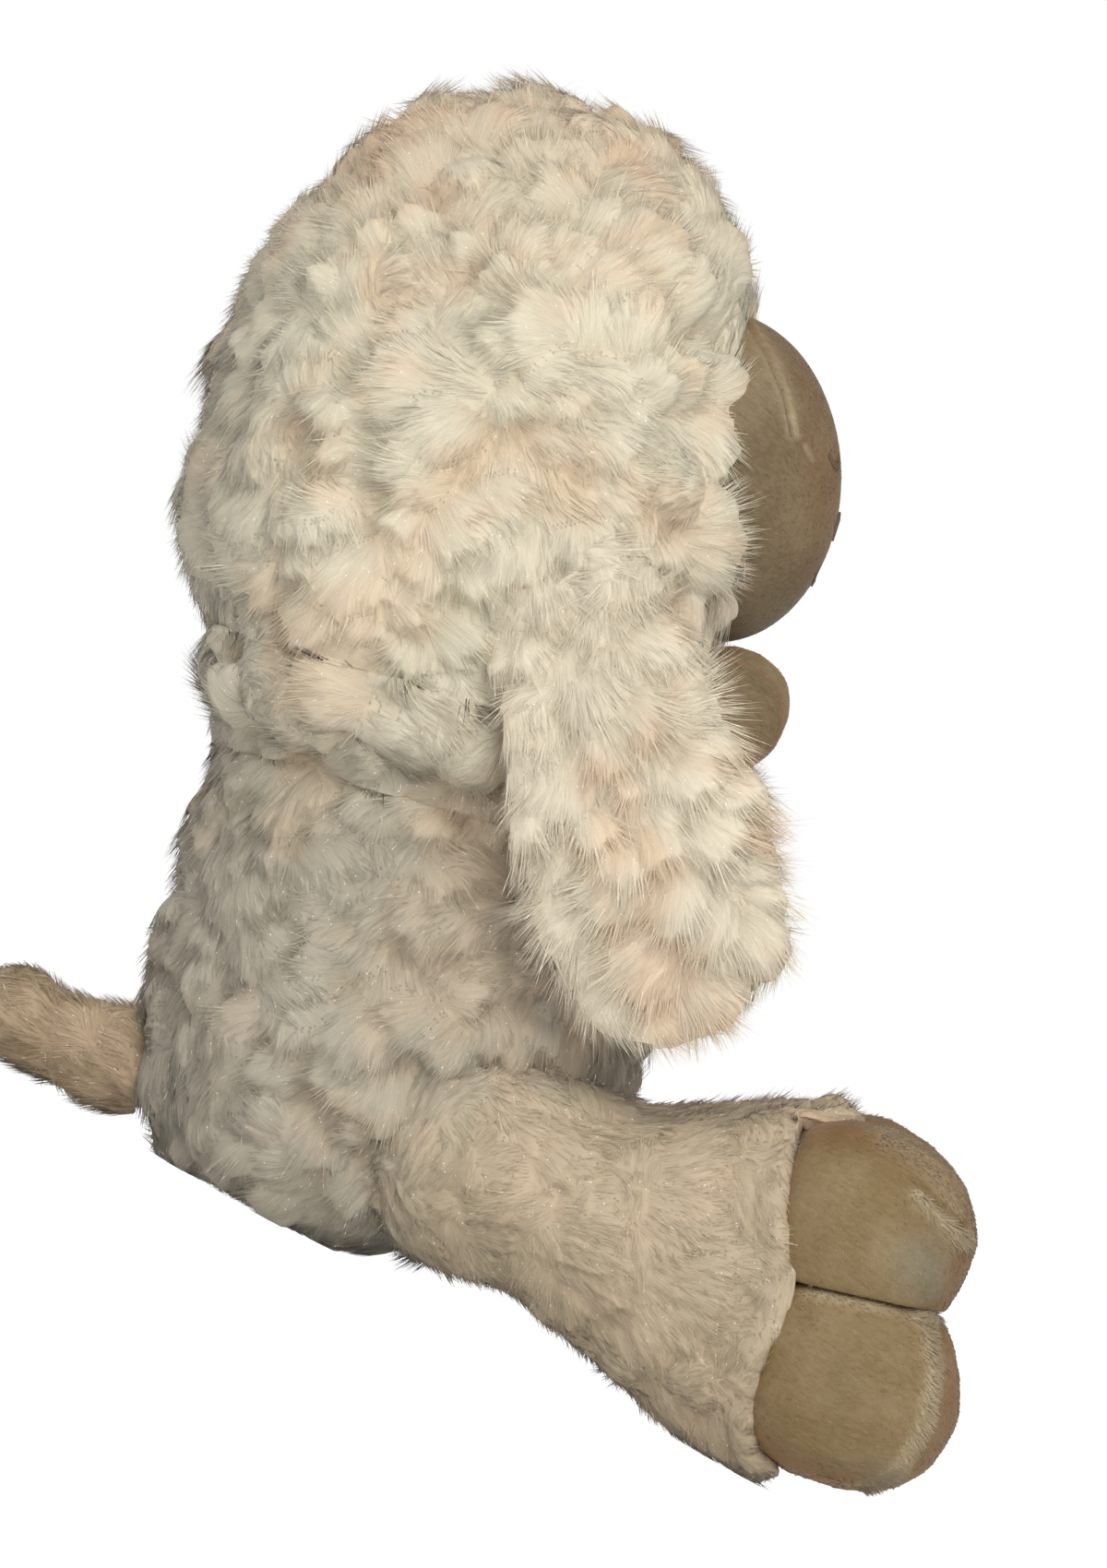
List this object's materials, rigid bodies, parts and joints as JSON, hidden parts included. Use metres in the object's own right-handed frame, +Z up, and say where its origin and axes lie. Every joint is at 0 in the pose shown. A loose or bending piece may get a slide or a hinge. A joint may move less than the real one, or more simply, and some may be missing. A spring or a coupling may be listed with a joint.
{
  "type": "plush sheep",
  "caption": "Sitting plush sheep: shaggy cream fur over stuffing, long hanging ears, velour face and cloven hooves, limbs that bend at sewn roots.",
  "frame": {"origin": "middle of the flat seat under the body, on the surface that the sheep sits on", "axes": "+Z up, the sheep looks along -Y, its left side is at +X"},
  "size_m": [0.201, 0.3714, 0.3668],
  "materials": {
    "fur": "matte",
    "tail_fur": "matte",
    "velour": "satin",
    "lining": "satin",
    "thread": "satin",
    "filling": "matte"
  },
  "bodies": {
    "body": {"body_cover": "fur", "body_filling": "filling"},
    "head": {"head_cover": "fur", "head_filling": "filling", "face_panel": "velour", "eye_left": "thread", "eye_right": "thread", "nose": "thread", "mouth": "thread"},
    "tail": {"tail_cover": "tail_fur", "tail_filling": "filling"},
    "ear_left": {"ear_left_cover": "fur", "ear_left_lining": "lining"},
    "arm_left": {"arm_left_cover": "fur", "arm_left_filling": "filling", "arm_left_outer_toe": "velour", "arm_left_inner_toe": "velour"},
    "leg_left": {"leg_left_cover": "fur", "leg_left_filling": "filling", "leg_left_upper_toe": "velour", "leg_left_lower_toe": "velour"},
    "ear_right": {"ear_right_cover": "fur", "ear_right_lining": "lining"},
    "arm_right": {"arm_right_cover": "fur", "arm_right_filling": "filling", "arm_right_outer_toe": "velour", "arm_right_inner_toe": "velour"},
    "leg_right": {"leg_right_cover": "fur", "leg_right_filling": "filling", "leg_right_upper_toe": "velour", "leg_right_lower_toe": "velour"}
  },
  "joints": [
    {"name": "head_turn", "type": "hinge", "parent": "body", "child": "head", "pos_m": [0, 0.0129, 0.15906], "axis": [0, 0.2079, 0.9781], "range_deg": [-10, 10], "stiffness_Nm_per_rad": 0.6},
    {"name": "tail_lift", "type": "hinge", "parent": "body", "child": "tail", "pos_m": [0, 0.04592, 0.02379], "axis": [1, 0, 0], "range_deg": [0, 30], "stiffness_Nm_per_rad": 0.15},
    {"name": "ear_left_lift", "type": "hinge", "parent": "head", "child": "ear_left", "pos_m": [0.0926, 0.0112, 0.2325], "axis": [0, -0.8816, 0.4719], "range_deg": [0, 80]},
    {"name": "arm_left_lower", "type": "hinge", "parent": "body", "child": "arm_left", "pos_m": [0.044, -0.0344, 0.13398], "axis": [1, 0, 0], "range_deg": [0, 22], "stiffness_Nm_per_rad": 0.4},
    {"name": "leg_left_lower", "type": "hinge", "parent": "body", "child": "leg_left", "pos_m": [0.046, -0.05504, 0.05207], "axis": [1, 0, 0], "range_deg": [-10, 25], "stiffness_Nm_per_rad": 1.2},
    {"name": "ear_right_lift", "type": "hinge", "parent": "head", "child": "ear_right", "pos_m": [-0.0926, 0.0112, 0.2325], "axis": [0, 0.8816, -0.4719], "range_deg": [0, 80]},
    {"name": "arm_right_lower", "type": "hinge", "parent": "body", "child": "arm_right", "pos_m": [-0.044, -0.0344, 0.13398], "axis": [1, 0, 0], "range_deg": [0, 22], "stiffness_Nm_per_rad": 0.4},
    {"name": "leg_right_lower", "type": "hinge", "parent": "body", "child": "leg_right", "pos_m": [-0.046, -0.05504, 0.05207], "axis": [1, 0, 0], "range_deg": [-10, 25], "stiffness_Nm_per_rad": 1.2}
  ]
}
